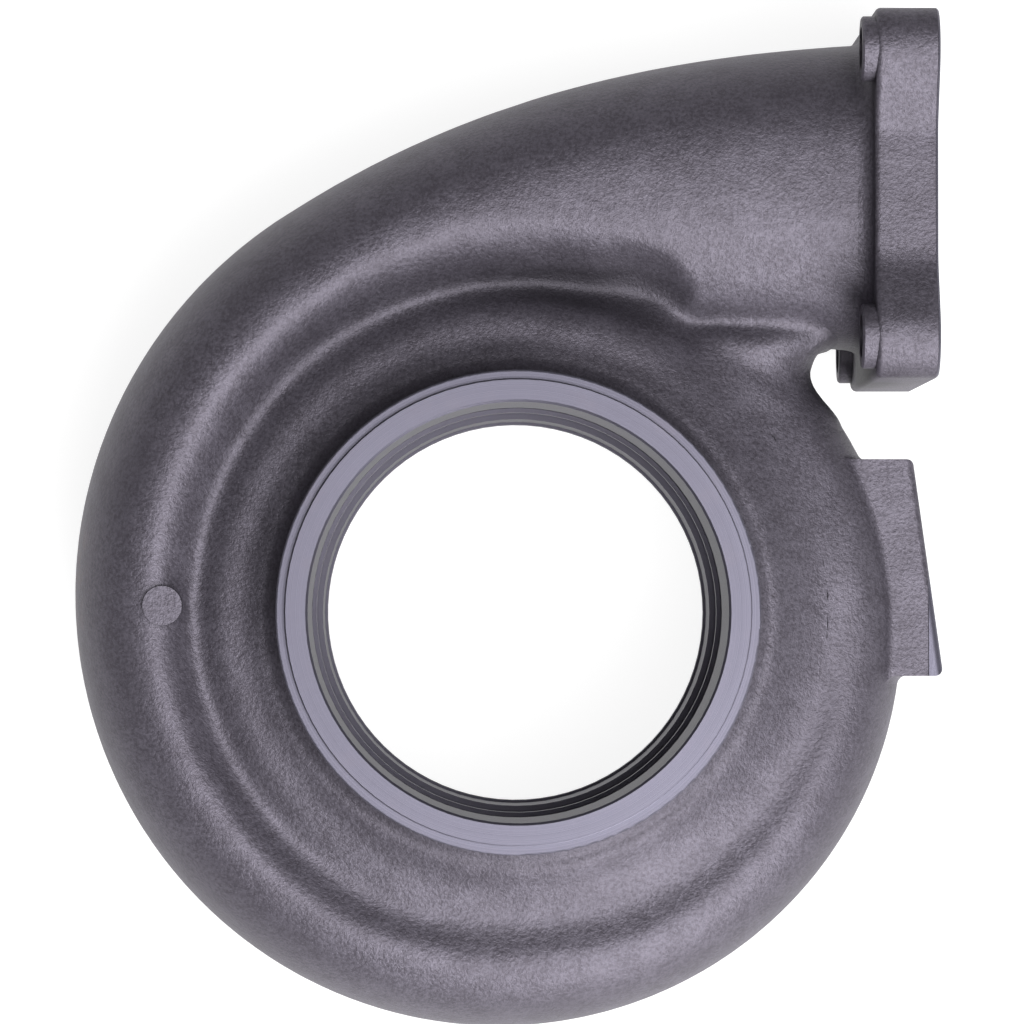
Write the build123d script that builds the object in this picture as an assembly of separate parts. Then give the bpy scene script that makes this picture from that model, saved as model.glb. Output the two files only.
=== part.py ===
from build123d import *
from math import cos, sin, pi, sqrt, radians
import os

# Turbine housing of a twin-entry exhaust turbocharger: one iron casting.
# Frame: the turbine axis is Z and the origin is its foot, on the machined face for the bearing
# housing. +Z looks out of the exhaust outlet, +X out of the exhaust inlet. Millimetres.

# Axial heights
OUTLET_FACE_Z = 112.0        # raised sealing face of the exhaust outlet
SCROLL_MID_Z = 56.0          # mid-plane of the scroll and of its dividing wall
PLATEAU_Z = 90.0             # flat shoulder between the outlet neck and the scroll

# Scroll: outer radius falls evenly with the angle, counted in degrees from +X
TONGUE_ANGLE = 397.0         # last angle of the open scroll
TAIL_ANGLE = 437.0           # the cast wall runs on under the duct to here
JOIN_ANGLE = 120.0           # scroll and inlet duct meet here
TONGUE_RADIUS = 96.6
RADIUS_PER_DEGREE = 0.0816
SCROLL_INNER_RADIUS = 65.5   # inner end of the cast section at the tongue
INNER_PER_DEGREE = 0.0235
TONGUE_HALF_WIDTH = 27.0     # half of the section's axial width at the tongue
WIDTH_PER_DEGREE = 0.0523
SCROLL_STATIONS = 24
SCROLL_POWER = 2.2           # roundness of the section: 2 is an ellipse, more is squarer

# Shoulder and valley between the necks and the scroll, cast in one sweep with its section
SHOULDER_RADIUS = 73.0
SHOULDER_RISE = 0.4          # crest of the shoulder above the flat plateau
SHOULDER_END_RISE = -1.2     # at the tail's end, where it dives under the plateau
SHOULDER_FADE = 30.0         # degrees over which it does so
VALLEY_RADIUS = 78.5         # at the tongue
VALLEY_PER_DEGREE = 0.014
VALLEY_DEPTH = 4.0           # below the plateau or the scroll's side, whichever is lower
VALLEY_FLANK_OUT = 0.45      # flank point: share of the way from the valley out to the crest
VALLEY_FLANK_UP = 0.62       # and its share of the rise
SHOULDER_FLANK_OUT = 0.5     # the same on the way from the valley in to the shoulder
SHOULDER_FLANK_UP = 0.6
SHOULDER_BACK = (4.0, 1.4)   # in and down from the shoulder's crest, inside the core
SHOULDER_HEEL = (11.0, 8.0)
SHOULDER_FOOT = 15.0
RIM_POINTS = 5               # spline points from the rim up to the crest

# Inlet duct
DUCT_END_TOP_Y = 147.0       # outer side where the duct meets the flange
DUCT_END_BOTTOM_Y = 68.0
DUCT_START_SLOPE = 0.64      # slope of the outer side where it leaves the scroll
DUCT_END_SLOPE = 0.05
DUCT_INNER_RADIUS = 72.0
DUCT_HALF_WIDTH = 42.0
DUCT_POWER = 2.6
DUCT_STATIONS = 12
SKIRT_SHARE = 0.5            # share of the duct over which the cast shoulder fades out

# Gas passages
WALL = 6.0
SIDE_WALL = 7.5
DIVIDER = 6.0
PASSAGE_INNER_RADIUS = 70.0
PASSAGE_FOOT_TURN = 0.22     # the passage's oval starts this far round, square to the divider
PASSAGE_POINTS = 6           # spline points on each half of its arch
PASSAGE_END = 4.0            # degrees before the tongue
THROAT_DROP = 1.5            # its throat is this much lower than the nozzle slot that opens it
TONGUE_PASSAGE_HALF_WIDTH = 12.0
TONGUE_WALL_ABOVE = 8.0      # wall between the duct's passage and the cast inner end
PORT_HEIGHT = 58.0
PORT_HALF_WIDTH = 34.0
PORT_POWER = 4.0             # nearly square corners
OVERSHOOT = 1.0              # how far a cut runs past the face that it opens

# Nozzle slots that open the scroll to the wheel
SLOT_WIDTH = 11.0
SLOT_OUTER_RADIUS = 74.0
DIVIDER_TIP_RADIUS = 51.9
DIVIDER_TIP = 3.6

# Stepped bore, from the outlet down
OUTLET_BORE_RADIUS = 52.75
WHEEL_BORE_RADIUS = 50.7
LEDGE_RADIUS = 50.0
LEDGE_Z = 18.0
SHIELD_SEAT_RADIUS = 58.0
SHIELD_SEAT_Z = 14.0
PILOT_RADIUS = 63.0
PILOT_DEPTH = 9.0
BORE_CHAMFER = 0.6

# Exhaust outlet flange, for a clamp band
OUTLET_RIM_RADIUS = 60.9
OUTLET_SPIGOT_RADIUS = 58.3
OUTLET_RIM_DROP = 2.5
OUTLET_RIM_LAND = 3.0
OUTLET_NECK_RADIUS = 57.0
BAND_CONE_DEPTH = 3.5
NECK_BLEND = 7.0
FLARE_TOP_Z = 98.0           # the neck opens out below here, in two cones blended into a bell
FLARE_RADIUS = 66.0
FLARE_RISE = 1.6             # above the plateau at that radius
FLARE_BLEND = 16.0
CORE_FLAT_RADIUS = 71.5      # the turned core falls away from here, under the cast shoulder
CORE_RADIUS = 79.0

# Bearing housing flange, for a clamp band
BACK_RIM_RADIUS = 76.0
BACK_RIM_LAND = 4.5
BACK_NECK_RADIUS = 70.0
BACK_CONE_DEPTH = 5.0
EDGE_ROUND = 0.5
RIM_ROUND = 1.5
CORE_ROUND = 3.0
CORE_INSIDE_RADIUS = 40.0    # solid to here before the bore is cut

# Inlet flange
FLANGE_FACE_X = 106.0
FLANGE_THICKNESS = 16.0
FLANGE_HEIGHT = 93.5
FLANGE_LENGTH = 110.0
FLANGE_CENTRE_Y = 105.9
FLANGE_CORNER = 10.0
FLANGE_WAIST_DEPTH = 8.0     # two edges dip between the ears
FLANGE_WAIST_HALF = 33.0     # the dip starts here, from the centre of the edge
FLANGE_WAIST_FLOOR = 17.0    # and reaches its depth here
FLANGE_WAIST_ROUND = 12.0
FLANGE_BACK_ROUND = 1.5
FLANGE_FACE_CHAMFER = 0.5
FLANGE_BLEND = 4.0
BOLT_SPACING_Y = 72.5
BOLT_SPACING_Z = 93.0
BOLT_HOLE_RADIUS = 5.5
BOLT_BOSS_RADIUS = 8.2
BOLT_BOSS_HEIGHT = 3.5
BOSS_CHAMFER = 0.5
NEAR = 0.01                  # for picking corners and edges by their place

# Rib between duct and scroll end, and the round notch beside it
NOTCH_X = 81.1
NOTCH_Y = 63.4
NOTCH_RADIUS = 4.7
WEB_ROOT_X = 26.0
WEB_LOW = 18.0               # its foot below the notch's centre
WEB_STEPS = (9.0, 5.0)       # further stations below the notch's centre
WEB_INTO_DUCT = 6.0
WEB_FLARE = 5.0
WEB_END_HALF_WIDTH = 25.0    # at the scroll's side
WEB_DUCT_HALF_WIDTH = 28.0   # at the duct's side
WEB_POWER = 3.2

# Pad on the rim, and the small round boss on the scroll's side
PAD_TOP = (101.6, 39.3)
PAD_BOTTOM = (109.4, -16.3)
PAD_WIDTH = 42.0
PAD_ROOT_X = 84.0
PAD_ROUND = 2.0
PAD_BLEND = 2.5
PAD_SEAM_LONGEST = 60.0
BOSS_X = -90.0
BOSS_Y = 1.7
BOSS_RADIUS = 5.0
BOSS_PROUD = 1.0
BOSS_ROOT = 12.0             # height of its cylinder, most of it inside the scroll's wall


def mix(a, b, share):
    return a + (b - a) * share


def smooth(share):
    """Even change from 0 to 1 that starts and ends gently."""
    share = min(1, max(0, share))
    return share * share * (3 - 2 * share)


def scroll_outer(angle):
    return TONGUE_RADIUS + RADIUS_PER_DEGREE * (TONGUE_ANGLE - angle)


def scroll_inner(angle):
    return SCROLL_INNER_RADIUS + INNER_PER_DEGREE * (TONGUE_ANGLE - angle)


def scroll_half_width(angle):
    return TONGUE_HALF_WIDTH + WIDTH_PER_DEGREE * (TONGUE_ANGLE - angle)


def valley_radius(angle):
    return VALLEY_RADIUS + VALLEY_PER_DEGREE * (TONGUE_ANGLE - angle)


def polar(radius, angle):
    return Vector(radius * cos(radians(angle)), radius * sin(radians(angle)), 0)


def oval_point(inner, outer, half_width, power, turn):
    """Point of a squared oval that stands between two points of the plan, at a parameter angle."""
    reach = (outer - inner) / 2
    c, s = cos(turn), sin(turn)
    along = abs(c) ** (2 / power) * (1 if c >= 0 else -1)
    up = abs(s) ** (2 / power) * (1 if s >= 0 else -1)
    centre = (inner + outer) / 2
    return centre + reach * along + Vector(0, 0, SCROLL_MID_Z + half_width * up)


def shoulder_rise(angle):
    share = smooth((TAIL_ANGLE - angle) / SHOULDER_FADE)
    return mix(SHOULDER_END_RISE, SHOULDER_RISE, share)


def whole_section(inner, outer, half_width, power, skirt=0, valley=VALLEY_RADIUS,
                  shoulder=SHOULDER_RISE):
    """Closed outer section of the casting: an oval, whose inner side is drawn out by skirt
    (0 to 1) into the valley and the shoulder that lead to the necks."""
    u = (outer - inner).normalized()
    plateau = PLATEAU_Z - SCROLL_MID_Z
    low = min(plateau, half_width) - VALLEY_DEPTH
    high = plateau + shoulder
    crest = (outer.length + inner.length) / 2
    sweep = [(mix(valley, crest, VALLEY_FLANK_OUT), mix(low, half_width, VALLEY_FLANK_UP)),
             (valley, low),
             (mix(valley, SHOULDER_RADIUS, SHOULDER_FLANK_OUT), mix(low, high, SHOULDER_FLANK_UP)),
             (SHOULDER_RADIUS, high)]
    sweep += [(SHOULDER_RADIUS - back, high - down) for back, down in (SHOULDER_BACK, SHOULDER_HEEL)]
    count = len(sweep) + 1

    def upper_point(turn, radius, rise):
        oval = oval_point(inner, outer, half_width, power, turn)
        drawn = outer + u * (radius - outer.length) + Vector(0, 0, SCROLL_MID_Z + rise)
        return mix(oval, drawn, skirt)

    turns = [pi / 2 * i / RIM_POINTS for i in range(RIM_POINTS + 1)]
    upper = [oval_point(inner, outer, half_width, power, turn) for turn in turns]
    for i, (radius, rise) in enumerate(sweep):
        upper.append(upper_point(pi / 2 * (1 + (i + 1) / count), radius, rise))
    lower = [Vector(p.X, p.Y, 2 * SCROLL_MID_Z - p.Z) for p in upper[1:]]
    middle = upper_point(pi, SHOULDER_RADIUS - SHOULDER_FOOT, 0)
    return Wire([Edge.make_spline([*upper, middle, *reversed(lower)], periodic=True)])


def half_section(inner, outer, half_width, power, side, throat):
    """One gas passage on one side (+1 or -1) of the dividing wall: an oval, whose inner side is
    drawn in by throat (0 to 1) to about the width of the nozzle slot."""
    count = PASSAGE_POINTS
    throat_rise = min(DIVIDER / 2 + SLOT_WIDTH - THROAT_DROP, half_width)
    crest = (inner + outer) / 2
    arch = []
    for i in range(count + 1):
        turn = mix(PASSAGE_FOOT_TURN, pi / 2, i / count)
        arch.append(oval_point(inner, outer, half_width, power, turn))
    for i in range(1, count + 1):
        turn = mix(pi / 2, pi - PASSAGE_FOOT_TURN, i / count)
        oval = oval_point(inner, outer, half_width, power, turn)
        rise = mix(half_width, throat_rise, i / count)
        drawn = mix(crest, inner, i / count) + Vector(0, 0, SCROLL_MID_Z + rise)
        arch.append(mix(oval, drawn, throat))
    if side < 0:
        arch = [Vector(p.X, p.Y, 2 * SCROLL_MID_Z - p.Z) for p in arch]
    floor_z = SCROLL_MID_Z + side * DIVIDER / 2
    foot_a = Vector(arch[0].X, arch[0].Y, floor_z)
    foot_b = Vector(arch[-1].X, arch[-1].Y, floor_z)
    return Wire([Edge.make_line(foot_a, arch[0]), Edge.make_spline(arch),
                 Edge.make_line(arch[-1], foot_b), Edge.make_line(foot_b, foot_a)])


def duct_top(x):
    """Outer side of the duct: one cubic from the scroll's rim to the flange."""
    start = polar(scroll_outer(JOIN_ANGLE), JOIN_ANGLE)
    span = FLANGE_FACE_X - FLANGE_THICKNESS - start.X
    u = (x - start.X) / span
    return ((1 + 2 * u) * (1 - u) ** 2 * start.Y
            + u * (1 - u) ** 2 * span * DUCT_START_SLOPE
            + u * u * (3 - 2 * u) * DUCT_END_TOP_Y
            + u * u * (u - 1) * span * DUCT_END_SLOPE)


def duct_station(share):
    """Inner and outer plan points of the duct at a share (0 to 1) of its length."""
    start = polar(scroll_outer(JOIN_ANGLE), JOIN_ANGLE)
    end_x = FLANGE_FACE_X - FLANGE_THICKNESS
    x = start.X + (end_x - start.X) * share
    outer = Vector(x, duct_top(x), 0)
    inner_start = polar(scroll_inner(JOIN_ANGLE), JOIN_ANGLE)
    if x < 0:
        inner_x = inner_start.X * x / start.X
        blend = x / start.X
        radius = DUCT_INNER_RADIUS + (scroll_inner(JOIN_ANGLE) - DUCT_INNER_RADIUS) * blend
        inner = Vector(inner_x, sqrt(radius ** 2 - inner_x ** 2), 0)
    else:
        drop = (DUCT_INNER_RADIUS - DUCT_END_BOTTOM_Y) * (x / end_x) ** 2
        inner = Vector(x, DUCT_INNER_RADIUS - drop, 0)
    return inner, outer


def scroll_angles(first, last):
    return [mix(first, last, i / SCROLL_STATIONS) for i in range(SCROLL_STATIONS + 1)]


def cast_scroll():
    wires = []
    for a in scroll_angles(TAIL_ANGLE, JOIN_ANGLE):
        wires.append(whole_section(polar(scroll_inner(a), a), polar(scroll_outer(a), a),
                                   scroll_half_width(a), SCROLL_POWER, 1, valley_radius(a),
                                   shoulder_rise(a)))
    return Solid.make_loft(wires)


def cast_duct():
    wires = []
    for i in range(DUCT_STATIONS + 1):
        share = i / DUCT_STATIONS
        inner, outer = duct_station(share)
        width = mix(scroll_half_width(JOIN_ANGLE), DUCT_HALF_WIDTH, share)
        skirt = smooth(1 - share / SKIRT_SHARE)
        wires.append(whole_section(inner, outer, width, mix(SCROLL_POWER, DUCT_POWER, share),
                                   skirt, valley_radius(JOIN_ANGLE)))
    end = wires[-1].moved(Location((FLANGE_THICKNESS / 2, 0, 0)))
    return Solid.make_loft(wires + [end])


def passage(side):
    """One of the two gas passages, from the flange face to the tongue."""
    join_width = scroll_half_width(JOIN_ANGLE) - SIDE_WALL
    scroll_wires = []
    for a in scroll_angles(TONGUE_ANGLE - PASSAGE_END, JOIN_ANGLE):
        share = (TONGUE_ANGLE - a) / (TONGUE_ANGLE - JOIN_ANGLE)
        scroll_wires.append(half_section(polar(PASSAGE_INNER_RADIUS, a),
                                         polar(scroll_outer(a) - WALL, a),
                                         mix(TONGUE_PASSAGE_HALF_WIDTH, join_width, share),
                                         SCROLL_POWER, side, 1))
    duct_wires = [scroll_wires[-1]]
    port_bottom = FLANGE_CENTRE_Y - PORT_HEIGHT / 2
    port_top = FLANGE_CENTRE_Y + PORT_HEIGHT / 2
    for i in range(1, DUCT_STATIONS + 1):
        share = i / DUCT_STATIONS
        inner, outer = duct_station(share)
        across = (outer - inner).normalized()
        start_lift = PASSAGE_INNER_RADIUS - scroll_inner(JOIN_ANGLE)
        lift = mix(start_lift, TONGUE_WALL_ABOVE, min(1, 2 * share))
        low, high = inner + across * lift, outer - across * WALL
        low = mix(low, Vector(low.X, port_bottom, 0), share ** 3)
        high = mix(high, Vector(high.X, port_top, 0), share ** 3)
        width = mix(join_width, PORT_HALF_WIDTH, share)
        power = mix(SCROLL_POWER, PORT_POWER, share ** 2)
        throat = 1 - smooth(share / SKIRT_SHARE)
        duct_wires.append(half_section(low, high, width, power, side, throat))
    duct_wires.append(duct_wires[-1].moved(Location((FLANGE_THICKNESS + OVERSHOOT, 0, 0))))
    return Solid.make_loft(scroll_wires), Solid.make_loft(duct_wires)


def revolve_profile(corners, radii):
    """Turned body: a broken line with rounded corners, closed along the inside radius."""
    line = FilletPolyline(*corners, radius=radii)
    foot, head = (CORE_INSIDE_RADIUS, corners[0][1]), (CORE_INSIDE_RADIUS, corners[-1][1])
    closing = Polyline(corners[-1], head, foot, corners[0])
    face = Plane.XZ * make_face([*line.edges(), *closing.edges()])
    return revolve(face, Axis.Z, 360)


def core():
    """Turned body round the wheel: both clamp rims, both necks and the flat shoulders."""
    rim_z = OUTLET_FACE_Z - OUTLET_RIM_DROP
    cone_top = rim_z - OUTLET_RIM_LAND
    back_plateau = 2 * SCROLL_MID_Z - PLATEAU_Z
    fall = CORE_RADIUS - CORE_FLAT_RADIUS
    turned = [(BACK_RIM_RADIUS, 0, 0), (BACK_RIM_RADIUS, BACK_RIM_LAND, EDGE_ROUND),
              (BACK_NECK_RADIUS, BACK_RIM_LAND + BACK_CONE_DEPTH, RIM_ROUND),
              (BACK_NECK_RADIUS, back_plateau, EDGE_ROUND),
              (CORE_FLAT_RADIUS, back_plateau, EDGE_ROUND),
              (CORE_RADIUS, back_plateau + fall, CORE_ROUND),
              (CORE_RADIUS, PLATEAU_Z - fall, CORE_ROUND),
              (CORE_FLAT_RADIUS, PLATEAU_Z, CORE_ROUND),
              (FLARE_RADIUS, PLATEAU_Z + FLARE_RISE, FLARE_BLEND),
              (OUTLET_NECK_RADIUS, FLARE_TOP_Z, NECK_BLEND),
              (OUTLET_NECK_RADIUS, cone_top - BAND_CONE_DEPTH, RIM_ROUND),
              (OUTLET_RIM_RADIUS, cone_top, EDGE_ROUND), (OUTLET_RIM_RADIUS, rim_z, EDGE_ROUND),
              (OUTLET_SPIGOT_RADIUS, rim_z, EDGE_ROUND), (OUTLET_SPIGOT_RADIUS, OUTLET_FACE_Z, 0)]
    corners = [(r, z) for r, z, rounding in turned]
    return revolve_profile(corners, [rounding for r, z, rounding in turned[1:-1]])


def turned_cut(corners):
    face = Plane.XZ * make_face(Polyline(*corners, close=True).edges())
    return revolve(face, Axis.Z, 360)


def bore():
    """Stepped through-bore."""
    slots_top = SCROLL_MID_Z + DIVIDER / 2 + SLOT_WIDTH
    slots_bottom = SCROLL_MID_Z - DIVIDER / 2 - SLOT_WIDTH
    over = OVERSHOOT
    mouth = OUTLET_BORE_RADIUS + BORE_CHAMFER
    return turned_cut([(0, -over), (PILOT_RADIUS, -over), (PILOT_RADIUS, PILOT_DEPTH),
                       (SHIELD_SEAT_RADIUS, PILOT_DEPTH), (SHIELD_SEAT_RADIUS, SHIELD_SEAT_Z),
                       (LEDGE_RADIUS, SHIELD_SEAT_Z), (LEDGE_RADIUS, LEDGE_Z),
                       (WHEEL_BORE_RADIUS, LEDGE_Z), (WHEEL_BORE_RADIUS, slots_bottom),
                       (DIVIDER_TIP_RADIUS, slots_bottom), (DIVIDER_TIP_RADIUS, slots_top),
                       (OUTLET_BORE_RADIUS, slots_top),
                       (OUTLET_BORE_RADIUS, OUTLET_FACE_Z - BORE_CHAMFER),
                       (mouth, OUTLET_FACE_Z), (mouth, OUTLET_FACE_Z + over),
                       (0, OUTLET_FACE_Z + over)])


def nozzle_slot(side):
    """Annular slot between a passage and the bore, with the tapered divider beside it."""
    near_tip = SCROLL_MID_Z + side * DIVIDER_TIP / 2
    near_root = SCROLL_MID_Z + side * DIVIDER / 2
    far = SCROLL_MID_Z + side * (DIVIDER / 2 + SLOT_WIDTH)
    inside = DIVIDER_TIP_RADIUS - DIVIDER_TIP
    return turned_cut([(inside, near_tip), (SLOT_OUTER_RADIUS, near_root),
                       (SLOT_OUTER_RADIUS, far), (inside, far)])


def flange_plate():
    """Inlet flange, two of its edges waisted between the ears."""
    h, l = FLANGE_HEIGHT / 2, FLANGE_LENGTH / 2
    w = FLANGE_WAIST_HALF
    quarter = [(h, l), (w, l), (FLANGE_WAIST_FLOOR, l - FLANGE_WAIST_DEPTH)]
    upper = quarter + [(-y, z) for y, z in reversed(quarter)]
    lower = [(-y, -z) for y, z in upper]
    face = make_face(Polyline(*upper, *lower, close=True).edges())
    face = fillet([v for v in face.vertices() if abs(v.X) > h - NEAR], FLANGE_CORNER)
    face = fillet([v for v in face.vertices() if abs(v.X) < w + NEAR], FLANGE_WAIST_ROUND)
    back = Plane(origin=(FLANGE_FACE_X - FLANGE_THICKNESS, FLANGE_CENTRE_Y, SCROLL_MID_Z),
                 x_dir=(0, 1, 0), z_dir=(1, 0, 0))
    plate = extrude(back * face, FLANGE_THICKNESS)
    plate = fillet(plate.faces().sort_by(Axis.X)[0].edges(), FLANGE_BACK_ROUND)
    return chamfer(plate.faces().sort_by(Axis.X)[-1].edges(), FLANGE_FACE_CHAMFER)


def bolt_bosses():
    """Raised, spot-faced seats for the nuts on the flange's back."""
    bosses = []
    for y, z in bolt_places():
        inside = Plane(origin=(FLANGE_FACE_X - FLANGE_THICKNESS / 2, y, z), z_dir=(-1, 0, 0))
        boss = extrude(inside * Circle(BOLT_BOSS_RADIUS), FLANGE_THICKNESS / 2 + BOLT_BOSS_HEIGHT)
        bosses.append(chamfer(boss.faces().sort_by(Axis.X)[0].edges(), BOSS_CHAMFER))
    return bosses


def bolt_places():
    return [(FLANGE_CENTRE_Y + i * BOLT_SPACING_Y / 2, SCROLL_MID_Z + j * BOLT_SPACING_Z / 2)
            for i in (-1, 1) for j in (-1, 1)]


def bolt_holes():
    depth = FLANGE_THICKNESS + BOLT_BOSS_HEIGHT + 2 * OVERSHOOT
    holes = []
    for y, z in bolt_places():
        start = Plane(origin=(FLANGE_FACE_X + OVERSHOOT, y, z), z_dir=(-1, 0, 0))
        holes.append(extrude(start * Circle(BOLT_HOLE_RADIUS), depth))
    return holes


def web():
    """Metal that fills the corner between the scroll's end and the duct, round the notch."""
    rim = scroll_outer(TONGUE_ANGLE)
    low_y = NOTCH_Y - WEB_LOW
    high_y = DUCT_END_BOTTOM_Y + WEB_INTO_DUCT
    on_rim = [low_y, *(NOTCH_Y - step for step in WEB_STEPS)]
    reach = [(sqrt(rim ** 2 - y ** 2), y) for y in on_rim]
    reach += [(NOTCH_X - NOTCH_RADIUS, NOTCH_Y), (NOTCH_X, DUCT_END_BOTTOM_Y),
              (NOTCH_X + WEB_FLARE, high_y)]
    wires = []
    for x, y in reach:
        width = mix(WEB_END_HALF_WIDTH, WEB_DUCT_HALF_WIDTH, (y - low_y) / (high_y - low_y))
        wires.append(whole_section(Vector(WEB_ROOT_X, y, 0), Vector(x, y, 0), width, WEB_POWER))
    notch = Pos(NOTCH_X, NOTCH_Y, SCROLL_MID_Z) * Cylinder(NOTCH_RADIUS, 4 * WEB_DUCT_HALF_WIDTH)
    return Solid.make_loft(wires) - notch


def pad():
    """Rectangular pad on the rim, its face leaning with the scroll."""
    corners = [(PAD_ROOT_X, PAD_BOTTOM[1]), PAD_BOTTOM, PAD_TOP, (PAD_ROOT_X, PAD_TOP[1])]
    low = Plane.XY.offset(SCROLL_MID_Z - PAD_WIDTH / 2)
    slab = extrude(low * make_face(Polyline(*corners, close=True).edges()), PAD_WIDTH)
    outer = slab.faces().sort_by(Axis.X)[-1]
    return fillet(outer.edges(), PAD_ROUND)


def small_boss():
    top = SCROLL_MID_Z + scroll_half_width(180) + BOSS_PROUD
    return Pos(BOSS_X, BOSS_Y, top - BOSS_ROOT / 2) * Cylinder(BOSS_RADIUS, BOSS_ROOT)


def duct_with_flange():
    """Inlet duct, blended into the back of its flange."""
    duct = cast_duct() + flange_plate()
    seam = duct.edges().filter_by(GeomType.BSPLINE).filter_by(
        lambda edge: abs(edge.center().X - FLANGE_FACE_X + FLANGE_THICKNESS) < NEAR)
    duct = fillet(seam.sort_by(Edge.length)[-1], FLANGE_BLEND)
    for boss in bolt_bosses():
        duct += boss
    return duct


def beside_pad(edge):
    place = edge.center()
    inside = edge.length < PAD_SEAM_LONGEST and PAD_BOTTOM[1] - 1 < place.Y < PAD_TOP[1] + 1
    return inside and place.X > PAD_ROOT_X - PAD_BLEND and abs(place.Z - SCROLL_MID_Z) < PAD_WIDTH


def scroll_with_pad():
    """Scroll with the pad on its rim, blended all round."""
    scroll = cast_scroll() + pad()
    return fillet(scroll.edges().filter_by(GeomType.BSPLINE).filter_by(beside_pad), PAD_BLEND)


def housing():
    body = core() + scroll_with_pad() + duct_with_flange() + web() + small_boss()
    cuts = [bore(), nozzle_slot(1), nozzle_slot(-1), *passage(1), *passage(-1), *bolt_holes()]
    for cut in cuts:
        body = body - cut
    return body


if __name__ == "__main__":
    os.makedirs("parts", exist_ok=True)
    shape = housing()
    export_step(shape, "parts/turbine_housing.step")
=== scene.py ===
import bmesh
import bpy
import numpy as np
from mathutils import Matrix, Vector
from mathutils.bvhtree import BVHTree


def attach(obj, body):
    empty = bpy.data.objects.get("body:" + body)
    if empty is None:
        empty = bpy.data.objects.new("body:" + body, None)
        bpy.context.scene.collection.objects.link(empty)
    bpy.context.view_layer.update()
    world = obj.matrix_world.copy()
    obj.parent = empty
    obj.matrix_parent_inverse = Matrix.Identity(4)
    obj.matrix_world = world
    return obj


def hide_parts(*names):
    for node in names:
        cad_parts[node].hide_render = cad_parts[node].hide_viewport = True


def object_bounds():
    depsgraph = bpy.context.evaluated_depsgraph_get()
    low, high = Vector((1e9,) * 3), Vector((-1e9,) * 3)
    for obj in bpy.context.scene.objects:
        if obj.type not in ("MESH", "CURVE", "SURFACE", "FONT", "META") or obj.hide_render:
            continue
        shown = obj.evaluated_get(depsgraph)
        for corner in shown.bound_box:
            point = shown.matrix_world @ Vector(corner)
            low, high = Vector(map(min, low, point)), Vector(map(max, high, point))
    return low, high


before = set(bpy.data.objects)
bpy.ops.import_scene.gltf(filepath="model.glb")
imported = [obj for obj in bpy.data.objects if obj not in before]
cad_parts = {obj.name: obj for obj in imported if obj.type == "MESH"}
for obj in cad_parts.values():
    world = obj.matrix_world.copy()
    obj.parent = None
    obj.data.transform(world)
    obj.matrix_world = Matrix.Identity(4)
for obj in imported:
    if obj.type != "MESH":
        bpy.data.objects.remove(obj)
cad_box = [list(corner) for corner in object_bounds()]

MM = 0.001
UP = Vector((0, 0, 1))

# Colours, linear
IRON = (0.150, 0.137, 0.170)
IRON_DARK = (0.085, 0.076, 0.095)
IRON_LIGHT = (0.235, 0.220, 0.262)
RUST = (0.130, 0.062, 0.040)
MACHINED = (0.170, 0.163, 0.210)
MACHINED_DARK = (0.095, 0.090, 0.118)
# Dark oxide colour of the bore, also the colour of the painted shade in creases and in the pocket under
# the duct
OXIDE_AND_SHADE = (0.030, 0.027, 0.034)
FLOOR_WHITE = (0.30, 0.30, 0.30)
FLOOR_GLOW = 0.88

# Noises: scale for millimetres, detail, roughness
BROAD = (0.022, 3.0, 0.55)
MOTTLE = (0.16, 4.0, 0.6)
GRAIN = (1.05, 3.0, 0.62)
FINE = (2.6, 2.0, 0.6)
LUMPS = (0.11, 2.0, 0.5)
RINGS = (9.0, 3.0, 0.7)
WEAR = (0.09, 5.0, 0.6)

# Heights of the relief in the material, metres
LUMP_HEIGHT = 0.00035
SAND_HEIGHT = 0.00024
RING_HEIGHT = 0.00002
# Reach of the painted shade in creases and hollows, metres
CREASE_SHADE_REACH = 0.022

# Rust, millimetres: centre, radius, soft edge, mottle that lets it through, strength
RUST_SPOTS = (
    ((106.0, 152.0, 70.0), 9.0, 7.0, (0.40, 0.60), 0.75),
    ((-112.0, 8.0, 62.0), 16.0, 12.0, (0.45, 0.65), 0.4),
)
# Painted shade in the pocket under the duct, where the duct's flank shades the valley: centre, radius,
# soft edge, and heights where it fades
PAINTED_POCKET_SHADE = ((12.0, 85.0, 82.0), 22.0, 18.0)
PAINTED_POCKET_SHADE_TOP = (84.5, 88.5)
PAINTED_POCKET_SHADE_SHARE = 0.65

# Machined places, millimetres: turned metal and cast skin change over between each pair
RIM_EDGE = (61.4, 61.7)
RIM_FOOT = (105.0, 105.4)
BORE_EDGE = (53.0, 53.2)
BACK_TOP = (9.5, 9.9)
BACK_EDGE = (77.0, 77.3)
INLET_FACE = (105.3, 105.6)
# The bore is dark with oxide up to here
BORE_TOP = (110.0, 110.8)

# Camera, lamps and floor, metres. A lamp has its name, place, size and power in watts.
CAMERA_PLACE = (-0.012, 0.0, 1.542)
CAMERA_TARGET = (-0.0016, 0.0251, 0.112)
CAMERA_SENSOR = 36
CAMERA_LENS = 201
LAMPS = (("front", (0.30, -0.30, 1.55), 0.8, 26), ("key", (0.55, -1.30, 0.85), 0.7, 25))
LAMP_TARGET = (0.0, 0.02, 0.05)
WORLD_LIGHT = 0.12
FLOOR_HALF = 3.0
FLOOR_GAP = 0.0005

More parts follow.
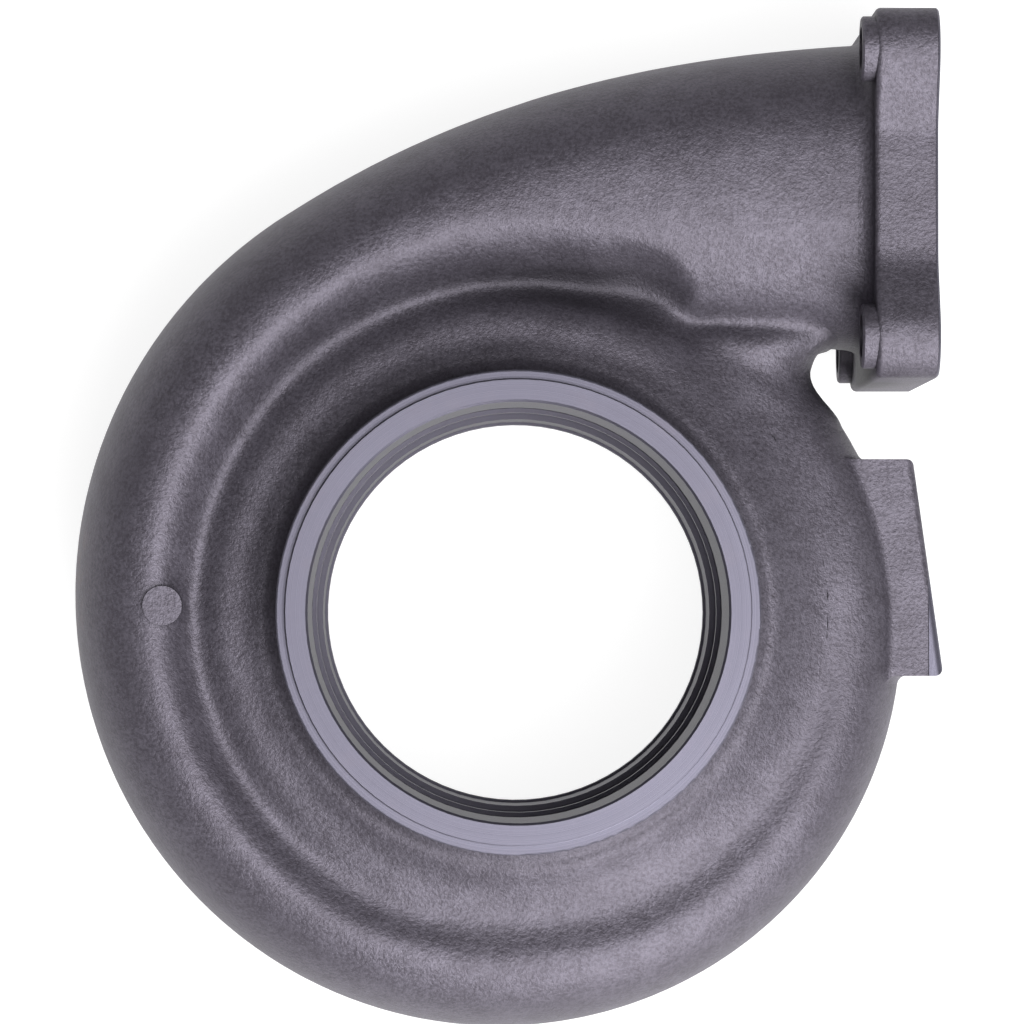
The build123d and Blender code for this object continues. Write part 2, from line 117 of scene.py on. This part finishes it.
# Area of the worked blends on the outlet side, millimetres
GRID_STEP = 0.8
GRID_X = (-100.0, 100.0)
GRID_Y = (-100.0, 105.0)
RAY_TOP = 200.0
LOWEST_TOP = 60.0            # lower tops don't belong to the outlet side
LOWEST_WORKED = 66.0
LEAST_SHARE = 0.001
RIM_KEEP = 63.0
EDGE_BLUR = 1.4              # softens the casting's outline, where the work fades out
EDGE_KEEP = (0.88, 1.0)
BOSS = (-90.0, 1.7, 6.6)     # x, y and radius of the round boss, which stays as it is
# The web: work starts over each first pair and ends over the second
WEB_X = ((26, 36), (76, 84))
WEB_Y = ((44, 52), (79, 86))

# How the worked surface is cut and moved, millimetres
LONGEST_EDGE = 2.4
SPLIT_ROUNDS = 7
SOFTENING = 1.8
LARGEST_MOVE = 9.0
SKIN_GAP = 0.00002           # metres above the skin where the search for a cover starts
STEEPEST = 0.15              # least Z of a normal when it is read as a slope
UNDERCUT_X = (30.0, 76.0)    # narrow undercut between the web and the duct, closed here
UNDERCUT_Y = (71.0, 77.0)
# Straight crease where the web meets the duct
CREASE_X = ((36, 46), (74, 82))
CREASE_Y = 73.3
CREASE_WIDTH = 5.0
CREASE_DEPTH = 3.0

# Sections of the worked surface. Each angle has its heights at these radii, and beyond its last
# height the solid's own surface takes over.
SECTION_RADII = (65, 68, 71, 74, 77, 80, 83, 86, 89, 92, 95, 98, 101, 104)
SECTIONS = {
    -60: (94.2, 91.2, 88.9, 87.5, 86.6, 86.1, 86.7, 87.6, 87.7),
    -30: (94.0, 91.2, 88.9, 87.2, 86.0, 85.3, 85.6, 86.4, 85.9),
    0: (93.8, 91.2, 89.0, 87.2, 85.8, 84.9, 84.6, 84.2, 83.1, 81.2),
    20: (93.6, 91.0, 89.2, 87.4, 85.8, 84.5, 83.4, 82.3, 81.1, 79.4),
    35: (93.6, 91.0, 89.4, 87.5, 85.8, 84.3, 82.9, 81.5, 80.1, 78.6),
    48: (93.4, 91.0, 89.8, 88.2, 86.6, 85.2, 84.4, 84.0),
    58: (93.2, 91.0, 90.2, 89.0, 87.2, 85.2, 83.6),
    63: (93.0, 91.0, 90.4, 89.8, 88.4, 86.2, 83.8, 81.8, 81.4, 84.8, 89.4),
    68: (93.0, 91.0, 90.6, 90.2, 88.8, 86.0, 82.8, 80.8, 81.2, 84.6, 89.0, 92.4),
    80: (93.0, 91.0, 90.6, 90.3, 89.0, 85.4, 82.0, 82.4, 86.4, 91.2, 94.4, 96.2),
    95: (93.0, 91.0, 90.5, 90.3, 89.2, 86.2, 83.6, 85.2, 89.8, 93.6, 96.0, 97.2),
    110: (93.0, 91.1, 90.5, 90.3, 89.2, 86.8, 85.4, 87.4, 91.4, 94.8, 96.6),
    128: (93.0, 91.1, 90.5, 90.3, 89.4, 87.4, 86.3, 88.0, 92.0, 95.4),
    150: (93.0, 91.1, 90.5, 90.4, 89.6, 87.6, 86.4, 89.2, 93.2, 95.2),
    180: (93.0, 91.1, 90.5, 90.4, 89.5, 87.3, 86.3, 89.8, 93.4),
    210: (93.2, 91.1, 90.5, 90.3, 89.0, 86.9, 86.9, 89.9, 92.1),
    240: (94.0, 91.4, 90.0, 89.2, 88.2, 87.2, 87.5, 89.4, 90.8),
    270: (94.2, 91.2, 89.0, 87.8, 87.2, 87.1, 87.9, 89.2, 90.1),
}
SECTIONS[300] = SECTIONS[-60]
HAND_OVER = 3.5              # the change to the solid's own surface takes this much of the radius


class Nodes:
    """Shorthand for building one node material."""

    def __init__(self, name):
        self.material = bpy.data.materials.new(name)
        self.material.use_nodes = True
        self.tree = self.material.node_tree
        self.shader = self.tree.nodes["Principled BSDF"]

    def add(self, kind, **settings):
        node = self.tree.nodes.new(kind)
        for name, value in settings.items():
            setattr(node, name, value)
        return node

    def feed(self, socket, value):
        if isinstance(value, bpy.types.NodeSocket):
            self.tree.links.new(value, socket)
        elif isinstance(value, tuple) and len(value) == 3 and socket.type == "RGBA":
            socket.default_value = (*value, 1)
        else:
            socket.default_value = value

    def math(self, operation, *values):
        node = self.add("ShaderNodeMath", operation=operation)
        for socket, value in zip(node.inputs, values):
            self.feed(socket, value)
        return node.outputs[0]

    def times(self, a, b):
        return self.math("MULTIPLY", a, b)

    def ramp(self, value, low, high, start=0.0, end=1.0):
        """Smooth step of value from low to high."""
        node = self.add("ShaderNodeMapRange", interpolation_type="SMOOTHSTEP")
        for socket, number in zip(node.inputs, (value, low, high, start, end)):
            self.feed(socket, number)
        return node.outputs[0]

    def fall(self, value, low, high):
        return self.ramp(value, low, high, 1.0, 0.0)

    def mix(self, share, a, b):
        """Colour between a and b; the node's colour sockets are 6, 7 and 2."""
        node = self.add("ShaderNodeMix", data_type="RGBA")
        self.feed(node.inputs[0], share)
        self.feed(node.inputs[6], a)
        self.feed(node.inputs[7], b)
        return node.outputs[2]

    def split(self, vector):
        node = self.add("ShaderNodeSeparateXYZ")
        self.feed(node.inputs[0], vector)
        return node.outputs

    def noise(self, place, scale, detail, rough, dimensions="3D"):
        node = self.add("ShaderNodeTexNoise", noise_dimensions=dimensions)
        self.feed(node.inputs["W" if dimensions == "1D" else "Vector"], place)
        node.inputs["Scale"].default_value = scale
        node.inputs["Detail"].default_value = detail
        node.inputs["Roughness"].default_value = rough
        return node.outputs[0]

    def spot(self, point, centre, radius, soft):
        """1 inside a round spot about centre, in millimetres."""
        node = self.add("ShaderNodeVectorMath", operation="DISTANCE")
        self.feed(node.inputs[0], point)
        node.inputs[1].default_value = centre
        return self.fall(node.outputs["Value"], radius - soft, radius + soft)


def positions(n):
    """Point on the part in millimetres, its x and z, and its distance from the turbine axis."""
    scaled = n.add("ShaderNodeVectorMath", operation="SCALE")
    n.feed(scaled.inputs[0], n.add("ShaderNodeTexCoord").outputs["Object"])
    scaled.inputs["Scale"].default_value = 1 / MM
    point = scaled.outputs[0]
    x, y, z = n.split(point)
    radius = n.math("SQRT", n.math("ADD", n.times(x, x), n.times(y, y)))
    return point, x, z, radius


def tool_cuts(n, x, z, radius):
    """The bore alone, and every face that a tool has cut."""
    outlet = n.times(n.fall(radius, *RIM_EDGE), n.ramp(z, *RIM_FOOT))
    bore = n.fall(radius, *BORE_EDGE)
    back = n.times(n.fall(z, *BACK_TOP), n.fall(radius, *BACK_EDGE))
    inlet = n.ramp(x, *INLET_FACE)
    cut = n.math("MAXIMUM", n.math("MAXIMUM", outlet, bore), n.math("MAXIMUM", back, inlet))
    return bore, cut


def cast_skin(n, point, z):
    """Colour of the sand-cast skin, with painted shade in its creases and in the pocket under the duct,
    and the two grains that its relief follows.
    """
    broad = n.noise(point, *BROAD)
    mottle = n.noise(point, *MOTTLE)
    grain = n.noise(point, *GRAIN)
    fine = n.noise(point, *FINE)
    tone = n.math("MULTIPLY_ADD", grain, 0.75, n.math("MULTIPLY_ADD", mottle, 0.35, -0.2))
    skin = n.mix(n.ramp(tone, 0.18, 0.52), IRON_DARK, IRON)
    skin = n.mix(n.ramp(fine, 0.60, 0.74, 0.0, 0.55), skin, IRON_LIGHT)
    skin = n.mix(n.ramp(broad, 0.42, 0.66, 0.0, 0.30), skin, IRON_DARK)
    for centre, radius, soft, patches, strength in RUST_SPOTS:
        stain = n.times(n.spot(point, centre, radius, soft), n.ramp(mottle, *patches))
        skin = n.mix(n.times(stain, strength), skin, RUST)
    # Painted shade: ambient occlusion darkens the skin colour in creases and hollows, where shade falls
    crease_shade = n.add("ShaderNodeAmbientOcclusion", samples=6)
    crease_shade.inputs["Distance"].default_value = CREASE_SHADE_REACH
    skin = n.mix(n.ramp(crease_shade.outputs["AO"], 0.35, 0.95, 0.75, 0.0), skin, OXIDE_AND_SHADE)
    # Painted shade in the pocket under the duct, fading out above its heights
    pocket_shade = n.times(n.spot(point, *PAINTED_POCKET_SHADE), n.fall(z, *PAINTED_POCKET_SHADE_TOP))
    return n.mix(n.times(pocket_shade, PAINTED_POCKET_SHADE_SHARE), skin, OXIDE_AND_SHADE), grain, fine


def turned_faces(n, point, z, radius, bore):
    """Colour of the turned faces, and the fine rings of the tool: round on faces, level on walls."""
    facing = n.split(n.add("ShaderNodeNewGeometry").outputs["Normal"])[2]
    flat = n.math("GREATER_THAN", n.math("ABSOLUTE", facing), 0.5)
    along = n.math("ADD", n.times(radius, flat), n.times(z, n.math("SUBTRACT", 1.0, flat)))
    rings = n.noise(along, *RINGS, "1D")
    turned = n.mix(n.ramp(rings, 0.35, 0.65), MACHINED_DARK, MACHINED)
    turned = n.mix(n.ramp(n.noise(point, *WEAR), 0.52, 0.72, 0.0, 0.35), turned, IRON)
    inner = n.times(bore, n.fall(z, *BORE_TOP))
    return n.mix(n.times(inner, 0.6), turned, OXIDE_AND_SHADE), rings


def cast_iron():
    n = Nodes("cast_iron")
    point, x, z, radius = positions(n)
    bore, cut = tool_cuts(n, x, z, radius)
    uncut = n.math("SUBTRACT", 1.0, cut)
    skin, grain, fine = cast_skin(n, point, z)
    turned, rings = turned_faces(n, point, z, radius, bore)
    n.feed(n.shader.inputs["Base Color"], n.mix(cut, skin, turned))
    n.feed(n.shader.inputs["Metallic"], n.math("MULTIPLY_ADD", cut, 0.25, 0.55))
    rough = n.times(n.math("MULTIPLY_ADD", grain, 0.16, 0.44), uncut)
    n.feed(n.shader.inputs["Roughness"], n.math("ADD", rough, n.times(cut, 0.50)))

    lumps = n.times(n.noise(point, *LUMPS), LUMP_HEIGHT)
    sand = n.times(n.math("MULTIPLY_ADD", fine, 0.35, grain), SAND_HEIGHT)
    relief = n.times(n.math("ADD", lumps, sand), uncut)
    tool = n.times(n.times(rings, RING_HEIGHT), cut)
    bump = n.add("ShaderNodeBump")
    bump.inputs["Strength"].default_value = 1.0
    bump.inputs["Distance"].default_value = 1.0
    n.feed(bump.inputs["Height"], n.math("ADD", relief, tool))
    n.feed(n.shader.inputs["Normal"], bump.outputs[0])
    n.shader.inputs["IOR"].default_value = 1.5
    n.shader.inputs["Specular IOR Level"].default_value = 0.4
    return n.material


def smooth_step(value, low, high):
    share = np.clip((value - low) / (high - low), 0, 1)
    return share * share * (3 - 2 * share)


def window(value, rise, fall):
    """Rises from 0 to 1 over the first pair of values and falls back over the second."""
    return smooth_step(value, *rise) * (1 - smooth_step(value, *fall))


def between(value, limits):
    return (value > limits[0]) & (value < limits[1])


def blurred(field, sigma):
    """Gaussian blur of a grid, that passes over its empty cells."""
    reach = int(3 * sigma / GRID_STEP) + 1
    kernel = np.exp(-0.5 * (np.arange(-reach, reach + 1) * GRID_STEP / sigma) ** 2)
    known = np.isfinite(field).astype(float)
    sums = []
    for layer in (np.nan_to_num(field), known):
        layer = np.pad(layer, reach, mode="edge")
        layer = np.apply_along_axis(np.convolve, 0, layer, kernel, "valid")
        sums.append(np.apply_along_axis(np.convolve, 1, layer, kernel, "valid"))
    return sums[0] / np.maximum(sums[1], 1e-9)


def section_height(radius, angle):
    """Height between the sections at each grid point, and how far out they reach there."""
    angles = sorted(SECTIONS)
    turned = (angle - angles[0]) % 360 + angles[0]
    place = np.interp(turned, angles, range(len(angles)))
    first = np.minimum(place.astype(int), len(angles) - 2)
    part = smooth_step(place - first, 0, 1)
    rows, reach = [], []
    for at in angles:
        heights = SECTIONS[at]
        rows.append(np.interp(radius, SECTION_RADII[:len(heights)], heights))
        reach.append(SECTION_RADII[len(heights) - 1])
    rows, reach = np.array(rows), np.array(reach, dtype=float)
    low = np.take_along_axis(rows, first[None], 0)[0]
    high = np.take_along_axis(rows, first[None] + 1, 0)[0]
    return low + part * (high - low), reach[first] + part * (reach[first + 1] - reach[first])


def top_heights(tree, x, y):
    """Height of the casting seen from above at each grid point, empty beside it."""
    top = np.full(x.shape, np.nan)
    for index in np.ndindex(x.shape):
        hit = tree.ray_cast(Vector((x[index], y[index], RAY_TOP)) * MM, -UP)[0]
        if hit and hit.z > LOWEST_TOP * MM:
            top[index] = hit.z / MM
    return top


class Relief:
    """Worked heights of the outlet side, as grids over x and y in millimetres."""

    def __init__(self, tree):
        self.x = np.arange(*GRID_X, GRID_STEP)
        self.y = np.arange(*GRID_Y, GRID_STEP)
        x, y = np.meshgrid(self.x, self.y)
        top = top_heights(tree, x, y)
        radius, angle = np.hypot(x, y), np.degrees(np.arctan2(y, x))
        drawn, reach = section_height(radius, angle)
        part = 1 - smooth_step(radius, reach - HAND_OVER, reach)
        raised = top + part * np.clip(drawn - top, -LARGEST_MOVE, LARGEST_MOVE)
        crease = 1 - smooth_step(np.abs(y - CREASE_Y), 0, CREASE_WIDTH)
        raised -= CREASE_DEPTH * crease * window(x, *CREASE_X)
        raised[radius < RIM_KEEP - 1] = np.nan
        self.height = blurred(raised, SOFTENING)

        # Share of the move: none on the rim, at the casting's outline and on the boss
        inland = smooth_step(blurred(np.isfinite(top).astype(float), EDGE_BLUR), *EDGE_KEEP)
        boss = smooth_step(np.hypot(x - BOSS[0], y - BOSS[1]), BOSS[2] - 1, BOSS[2] + 1)
        rim = smooth_step(radius, RIM_KEEP, RIM_KEEP + 2)
        drawn_part = 1 - smooth_step(radius, reach - 1, reach + 4)
        web = window(x, *WEB_X) * window(y, *WEB_Y)
        self.share = rim * inland * boss * np.maximum(drawn_part, web)
        self.height_slope = np.gradient(self.height, GRID_STEP)
        self.share_slope = np.gradient(self.share, GRID_STEP)

    def worked(self, points):
        """Which points, in millimetres, lie where the surface is worked."""
        x, y, z = points.T
        inside = between(x, GRID_X) & between(y, GRID_Y) & (z > LOWEST_WORKED)
        return inside & (self.read(self.share, x, y) > LEAST_SHARE)

    def read(self, grid, x, y):
        """Value of one grid at points, between its four cells."""
        column = np.clip((x - self.x[0]) / GRID_STEP, 0, len(self.x) - 1.001)
        row = np.clip((y - self.y[0]) / GRID_STEP, 0, len(self.y) - 1.001)
        i, j = column.astype(int), row.astype(int)
        u, v = column - i, row - j
        low = grid[j, i] * (1 - u) + grid[j, i + 1] * u
        return low * (1 - v) + (grid[j + 1, i] * (1 - u) + grid[j + 1, i + 1] * u) * v

    def slopes(self, grids, points):
        """Slopes along x and y at points, from the pair of grids along y and x."""
        along_y, along_x = grids
        x, y = points[:, 0], points[:, 1]
        return np.stack([self.read(along_x, x, y), self.read(along_y, x, y)], 1)


def points_of(bm):
    return np.array([v.co[:] for v in bm.verts]) / MM


def corners_and_normals(source):
    """Corners in millimetres and corner normals of a mesh of triangles."""
    source.calc_loop_triangles()
    triangles = source.loop_triangles
    corners = np.array([source.vertices[i].co[:] for t in triangles for i in t.vertices])
    normals = np.array([source.corner_normals[i].vector[:] for t in triangles for i in t.loops])
    return corners.reshape(-1, 3, 3) / MM, normals.reshape(-1, 3, 3)


def split_long_edges(bm, relief):
    """Split the edges of the worked area until they are short enough to follow its relief."""
    for _ in range(SPLIT_ROUNDS):
        bm.verts.index_update()
        points = points_of(bm)
        ends = np.array([(e.verts[0].index, e.verts[1].index) for e in bm.edges])
        a, b = points[ends[:, 0]], points[ends[:, 1]]
        chosen = relief.worked(a) | relief.worked(b) | relief.worked((a + b) / 2)
        chosen &= np.linalg.norm(a - b, axis=1) > LONGEST_EDGE
        if not chosen.any():
            break
        edges = [edge for edge, yes in zip(list(bm.edges), chosen) if yes]
        bmesh.ops.subdivide_edges(bm, edges=edges, cuts=1)
        bmesh.ops.triangulate(bm, faces=[f for f in bm.faces if len(f.verts) > 3])


def move_skin(bm, tree, relief):
    """Move the skin that is open to the sky, and the narrow undercut beside the web, along Z."""
    before = points_of(bm)
    x, y, z = before.T
    moving = relief.worked(before)
    undercut = between(x, UNDERCUT_X) & between(y, UNDERCUT_Y)
    for index, vert in enumerate(bm.verts):
        if moving[index] and not undercut[index]:
            moving[index] = tree.ray_cast(vert.co + SKIN_GAP * UP, UP)[0] is None
    share = np.where(moving, relief.read(relief.share, x, y), 0.0)
    height = relief.read(relief.height, x, y)
    share[np.abs(height - z) > LARGEST_MOVE] = 0
    for vert, moved in zip(bm.verts, z + share * (height - z)):
        vert.co.z = moved * MM
    return before, share, height


def own_normals(at, corners, normals):
    """The solid's own normals at points on its triangles, by the points' place in them."""
    a, b, c = corners[:, 0], corners[:, 1], corners[:, 2]
    span = np.cross(b - a, c - a)
    area = np.maximum((span * span).sum(1), 1e-12)
    wb = np.clip((np.cross(at - a, c - a) * span).sum(1) / area, 0, 1)
    wc = np.clip((np.cross(b - a, at - a) * span).sum(1) / area, 0, 1)
    wa = np.clip(1 - wb - wc, 0, 1)
    own = normals[:, 0] * wa[:, None] + normals[:, 1] * wb[:, None] + normals[:, 2] * wc[:, None]
    return own / np.maximum(np.linalg.norm(own, axis=1, keepdims=True), 1e-9)


def worked_normals(own, at, share, height, relief):
    """The solid's own normals, turned by the slope of what was worked."""
    part = share[:, None]
    rise = relief.slopes(relief.height_slope, at)
    fade = relief.slopes(relief.share_slope, at)
    slope = (1 - part) * -own[:, :2] / np.maximum(own[:, 2:], STEEPEST)
    slope += part * rise + (height - at[:, 2])[:, None] * fade
    bent = np.concatenate([-slope, np.ones((len(slope), 1))], 1)
    bent /= np.linalg.norm(bent, axis=1, keepdims=True)
    return np.where(part > 0, bent, own)


def link(name, data):
    thing = bpy.data.objects.new(name, data)
    bpy.context.scene.collection.objects.link(thing)
    return thing


def worked_copy(name):
    """The casting's own mesh, with the flowing blends that the cast surface has by the duct."""
    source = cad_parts[name].data
    corners, normals = corners_and_normals(source)
    tree = BVHTree.FromPolygons([v.co for v in source.vertices],
                                [t.vertices for t in source.loop_triangles])
    relief = Relief(tree)

    bm = bmesh.new()
    bm.from_mesh(source)
    bm.faces.index_update()
    origin = bm.faces.layers.int.new("origin")
    for face in bm.faces:
        face[origin] = face.index
    split_long_edges(bm, relief)
    before, share, height = move_skin(bm, tree, relief)

    bm.verts.index_update()
    loops = np.array([loop.vert.index for face in bm.faces for loop in face.loops])
    home = np.repeat(np.array([face[origin] for face in bm.faces]), 3)
    at = before[loops]
    own = own_normals(at, corners[home], normals[home])
    shading = worked_normals(own, at, share[loops], height[loops], relief)

    mesh = bpy.data.meshes.new("casting")
    bm.to_mesh(mesh)
    bm.free()
    mesh.shade_smooth()
    mesh.normals_split_custom_set(shading.tolist())
    return link("casting", mesh)


def paint(piece, material):
    piece.data.materials.clear()
    piece.data.materials.append(material)


def floor_material():
    """White to the camera and in reflections, and darkened there by the object's shadow."""
    n = Nodes("floor")
    n.feed(n.shader.inputs["Base Color"], FLOOR_WHITE)
    n.shader.inputs["Roughness"].default_value = 0.9
    n.shader.inputs["Specular IOR Level"].default_value = 0.0
    path = n.add("ShaderNodeLightPath")
    seen = n.math("MAXIMUM", path.outputs["Is Camera Ray"],
                  n.math("MAXIMUM", path.outputs["Is Glossy Ray"], path.outputs["Is Transmission Ray"]))
    n.shader.inputs["Emission Color"].default_value = (1, 1, 1, 1)
    n.feed(n.shader.inputs["Emission Strength"], n.times(seen, FLOOR_GLOW))
    return n.material


def make_floor():
    mesh = bpy.data.meshes.new("floor")
    corners = [(x * FLOOR_HALF, y * FLOOR_HALF, 0) for x, y in ((-1, -1), (1, -1), (1, 1), (-1, 1))]
    mesh.from_pydata(corners, [], [(0, 1, 2, 3)])
    floor = link("floor", mesh)
    floor.location.z = cad_box[0][2] - FLOOR_GAP
    mesh.materials.append(floor_material())


def aim(thing, target):
    """Turn a camera or lamp to its target, with +Y up in its picture."""
    back = (thing.location - Vector(target)).normalized()
    right = Vector((0, 1, 0)).cross(back).normalized()
    thing.rotation_euler = Matrix((right, back.cross(right), back)).transposed().to_euler()


def make_camera():
    data = bpy.data.cameras.new("camera")
    data.sensor_width = CAMERA_SENSOR
    data.lens = CAMERA_LENS
    camera = link("camera", data)
    camera.location = CAMERA_PLACE
    aim(camera, CAMERA_TARGET)
    bpy.context.scene.camera = camera


def make_lamp(name, place, size, power):
    data = bpy.data.lights.new(name, "AREA")
    data.shape = "SQUARE"
    data.size = size
    data.energy = power
    lamp = link(name, data)
    lamp.location = place
    aim(lamp, LAMP_TARGET)


def make_world():
    world = bpy.data.worlds.new("studio")
    bpy.context.scene.world = world
    world.use_nodes = True
    background = world.node_tree.nodes["Background"]
    background.inputs["Color"].default_value = (1, 1, 1, 1)
    background.inputs["Strength"].default_value = WORLD_LIGHT


casting = worked_copy("turbine_housing")
paint(casting, cast_iron())
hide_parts("turbine_housing")
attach(casting, "root")
make_floor()
make_camera()
for lamp in LAMPS:
    make_lamp(*lamp)
make_world()
bpy.context.scene.view_settings.view_transform = "Standard"
